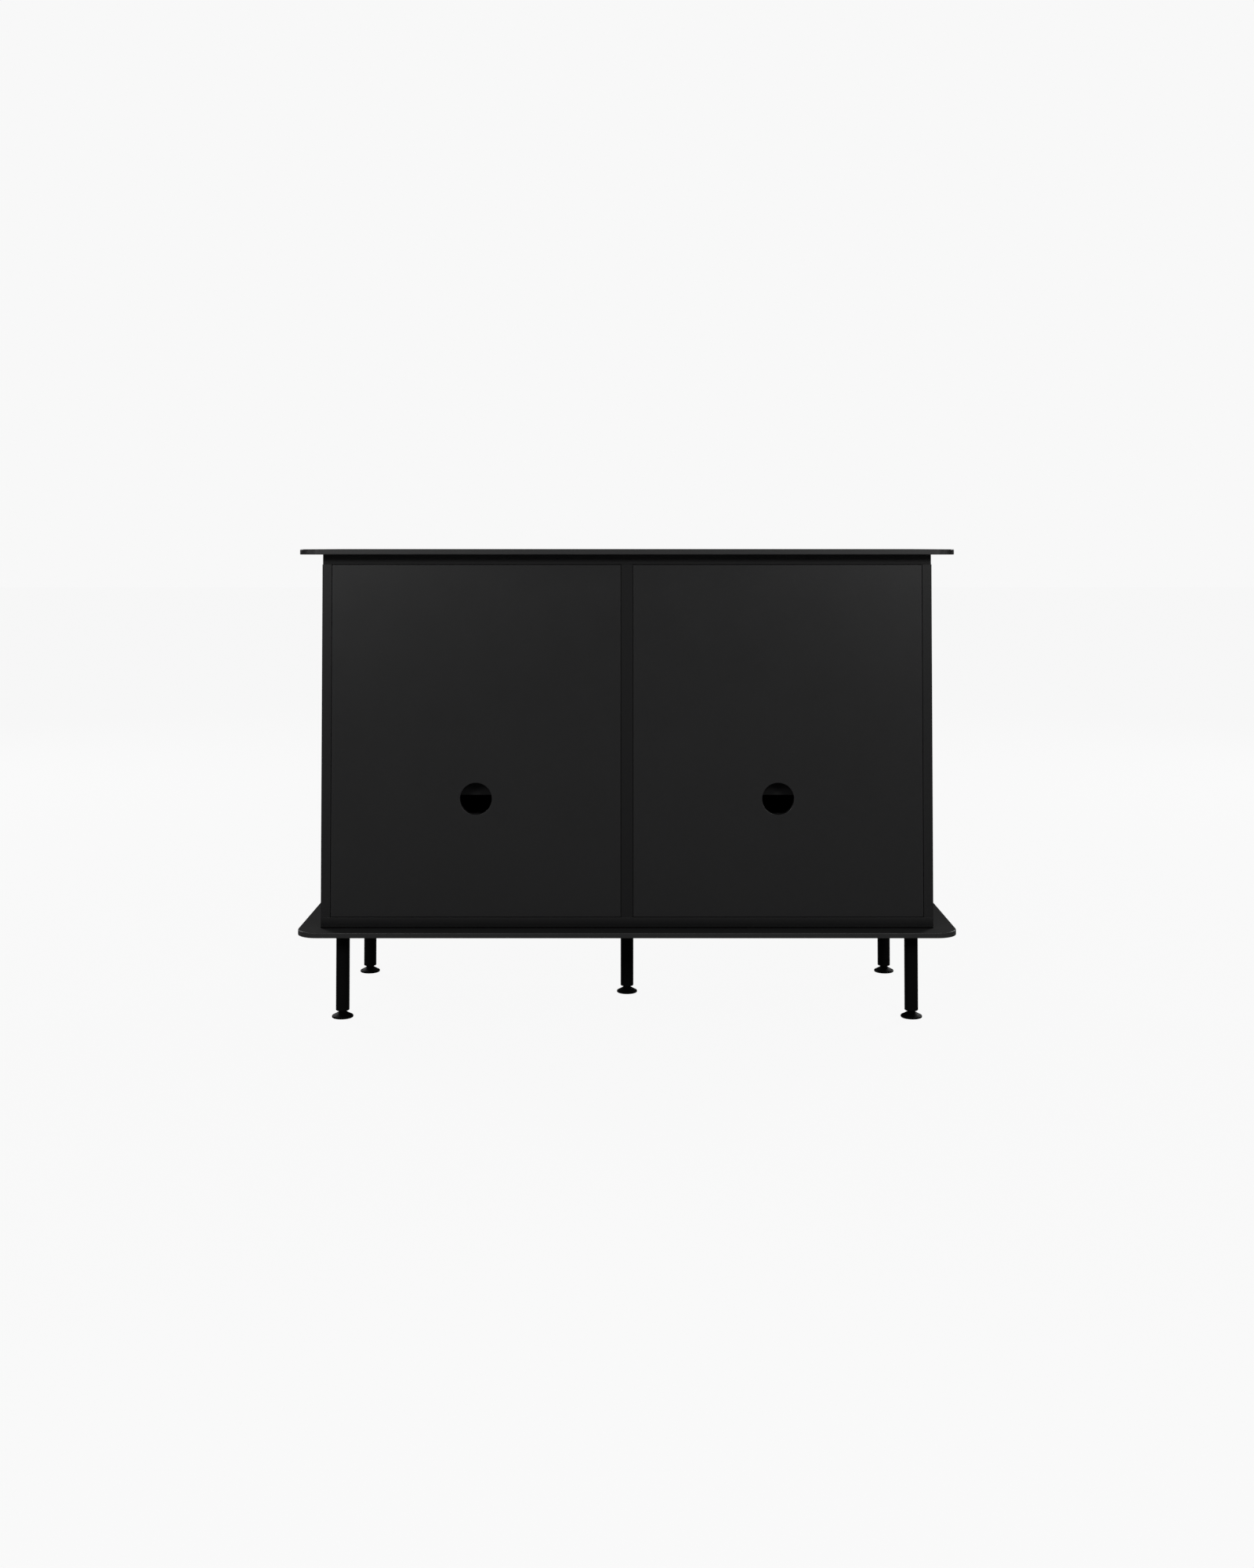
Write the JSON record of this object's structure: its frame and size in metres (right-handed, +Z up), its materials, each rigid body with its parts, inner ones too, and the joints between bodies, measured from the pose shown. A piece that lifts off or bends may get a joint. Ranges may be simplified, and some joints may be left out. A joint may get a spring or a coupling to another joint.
{
  "type": "dresser with drawers",
  "caption": "Free-standing dresser: two bays of drawers between thin rounded plates, on round legs with levelling feet, with cable outlets in the back.",
  "frame": {"origin": "on the floor at the centre of the dresser's footprint, with the levelling feet screwed in", "axes": "+X along the width, to the right for someone facing the drawers; +Y from the drawer fronts towards the back panels; +Z up"},
  "size_m": [1.06, 0.45, 0.7625],
  "materials": {
    "plate_lacquer": "satin",
    "carcass_lacquer": "satin",
    "front_lacquer": "satin",
    "drawer_board": "matte",
    "drawer_base": "matte",
    "leg_powder_coat": "satin",
    "knob_metal": "satin",
    "foot_plastic": "matte",
    "zinc_steel": "satin"
  },
  "bodies": {
    "cabinet": {"top_plate": "plate_lacquer", "bottom_plate": "plate_lacquer", "carcass_top": "carcass_lacquer", "carcass_bottom": "carcass_lacquer", "carcass_side_left": "carcass_lacquer", "carcass_side_right": "carcass_lacquer", "partition": "carcass_lacquer", "back_panel_left": "carcass_lacquer", "back_panel_right": "carcass_lacquer", "back_cleats": "carcass_lacquer", "carcass_screws": "zinc_steel", "top_plate_screws": "zinc_steel", "leg_bolts": "zinc_steel", "slide_cabinet_members": "zinc_steel", "leg_front_left": "leg_powder_coat", "leg_front_right": "leg_powder_coat", "leg_rear_left": "leg_powder_coat", "leg_rear_right": "leg_powder_coat", "leg_centre": "leg_powder_coat"},
    "drawer_bottom_left": {"drawer_bottom_left_front": "front_lacquer", "drawer_bottom_left_box": "drawer_board", "drawer_bottom_left_bottom": "drawer_base", "drawer_bottom_left_knob": "knob_metal", "drawer_bottom_left_runners": "zinc_steel"},
    "slides_bottom_left": {"slide_bottom_left": "zinc_steel"},
    "drawer_bottom_right": {"drawer_bottom_right_front": "front_lacquer", "drawer_bottom_right_box": "drawer_board", "drawer_bottom_right_bottom": "drawer_base", "drawer_bottom_right_knob": "knob_metal", "drawer_bottom_right_runners": "zinc_steel"},
    "slides_bottom_right": {"slide_bottom_right": "zinc_steel"},
    "drawer_middle_left": {"drawer_middle_left_front": "front_lacquer", "drawer_middle_left_box": "drawer_board", "drawer_middle_left_bottom": "drawer_base", "drawer_middle_left_knob": "knob_metal", "drawer_middle_left_runners": "zinc_steel"},
    "slides_middle_left": {"slide_middle_left": "zinc_steel"},
    "drawer_middle_right": {"drawer_middle_right_front": "front_lacquer", "drawer_middle_right_box": "drawer_board", "drawer_middle_right_bottom": "drawer_base", "drawer_middle_right_knob": "knob_metal", "drawer_middle_right_runners": "zinc_steel"},
    "slides_middle_right": {"slide_middle_right": "zinc_steel"},
    "drawer_top_left": {"drawer_top_left_front": "front_lacquer", "drawer_top_left_box": "drawer_board", "drawer_top_left_bottom": "drawer_base", "drawer_top_left_knob": "knob_metal", "drawer_top_left_runners": "zinc_steel"},
    "slides_top_left": {"slide_top_left": "zinc_steel"},
    "drawer_top_right": {"drawer_top_right_front": "front_lacquer", "drawer_top_right_box": "drawer_board", "drawer_top_right_bottom": "drawer_base", "drawer_top_right_knob": "knob_metal", "drawer_top_right_runners": "zinc_steel"},
    "slides_top_right": {"slide_top_right": "zinc_steel"},
    "levelling_foot_front_left": {"foot_front_left": "foot_plastic"},
    "levelling_foot_front_right": {"foot_front_right": "foot_plastic"},
    "levelling_foot_rear_left": {"foot_rear_left": "foot_plastic"},
    "levelling_foot_rear_right": {"foot_rear_right": "foot_plastic"},
    "levelling_foot_centre": {"foot_centre": "foot_plastic"}
  },
  "joints": [
    {"name": "drawer_bottom_left_pull", "type": "slide", "parent": "cabinet", "child": "drawer_bottom_left", "axis": [0, -1, 0], "range_m": [0, 0.3]},
    {"name": "slides_bottom_left_run", "type": "slide", "parent": "cabinet", "child": "slides_bottom_left", "axis": [0, -1, 0], "range_m": [0, 0.15]},
    {"name": "drawer_bottom_right_pull", "type": "slide", "parent": "cabinet", "child": "drawer_bottom_right", "axis": [0, -1, 0], "range_m": [0, 0.3]},
    {"name": "slides_bottom_right_run", "type": "slide", "parent": "cabinet", "child": "slides_bottom_right", "axis": [0, -1, 0], "range_m": [0, 0.15]},
    {"name": "drawer_middle_left_pull", "type": "slide", "parent": "cabinet", "child": "drawer_middle_left", "axis": [0, -1, 0], "range_m": [0, 0.3]},
    {"name": "slides_middle_left_run", "type": "slide", "parent": "cabinet", "child": "slides_middle_left", "axis": [0, -1, 0], "range_m": [0, 0.15]},
    {"name": "drawer_middle_right_pull", "type": "slide", "parent": "cabinet", "child": "drawer_middle_right", "axis": [0, -1, 0], "range_m": [0, 0.3]},
    {"name": "slides_middle_right_run", "type": "slide", "parent": "cabinet", "child": "slides_middle_right", "axis": [0, -1, 0], "range_m": [0, 0.15]},
    {"name": "drawer_top_left_pull", "type": "slide", "parent": "cabinet", "child": "drawer_top_left", "axis": [0, -1, 0], "range_m": [0, 0.3]},
    {"name": "slides_top_left_run", "type": "slide", "parent": "cabinet", "child": "slides_top_left", "axis": [0, -1, 0], "range_m": [0, 0.15]},
    {"name": "drawer_top_right_pull", "type": "slide", "parent": "cabinet", "child": "drawer_top_right", "axis": [0, -1, 0], "range_m": [0, 0.3]},
    {"name": "slides_top_right_run", "type": "slide", "parent": "cabinet", "child": "slides_top_right", "axis": [0, -1, 0], "range_m": [0, 0.15]},
    {"name": "foot_front_left_thread", "type": "slide", "parent": "cabinet", "child": "levelling_foot_front_left", "axis": [0, 0, -1], "range_m": [0, 0.01]},
    {"name": "foot_front_right_thread", "type": "slide", "parent": "cabinet", "child": "levelling_foot_front_right", "axis": [0, 0, -1], "range_m": [0, 0.01]},
    {"name": "foot_rear_left_thread", "type": "slide", "parent": "cabinet", "child": "levelling_foot_rear_left", "axis": [0, 0, -1], "range_m": [0, 0.01]},
    {"name": "foot_rear_right_thread", "type": "slide", "parent": "cabinet", "child": "levelling_foot_rear_right", "axis": [0, 0, -1], "range_m": [0, 0.01]},
    {"name": "foot_centre_thread", "type": "slide", "parent": "cabinet", "child": "levelling_foot_centre", "axis": [0, 0, -1], "range_m": [0, 0.01]}
  ],
  "couplings": [
    {"joint": "slides_bottom_left_run", "follows": "drawer_bottom_left_pull", "ratio": 0.5},
    {"joint": "slides_bottom_right_run", "follows": "drawer_bottom_right_pull", "ratio": 0.5},
    {"joint": "slides_middle_left_run", "follows": "drawer_middle_left_pull", "ratio": 0.5},
    {"joint": "slides_middle_right_run", "follows": "drawer_middle_right_pull", "ratio": 0.5},
    {"joint": "slides_top_left_run", "follows": "drawer_top_left_pull", "ratio": 0.5},
    {"joint": "slides_top_right_run", "follows": "drawer_top_right_pull", "ratio": 0.5}
  ]
}
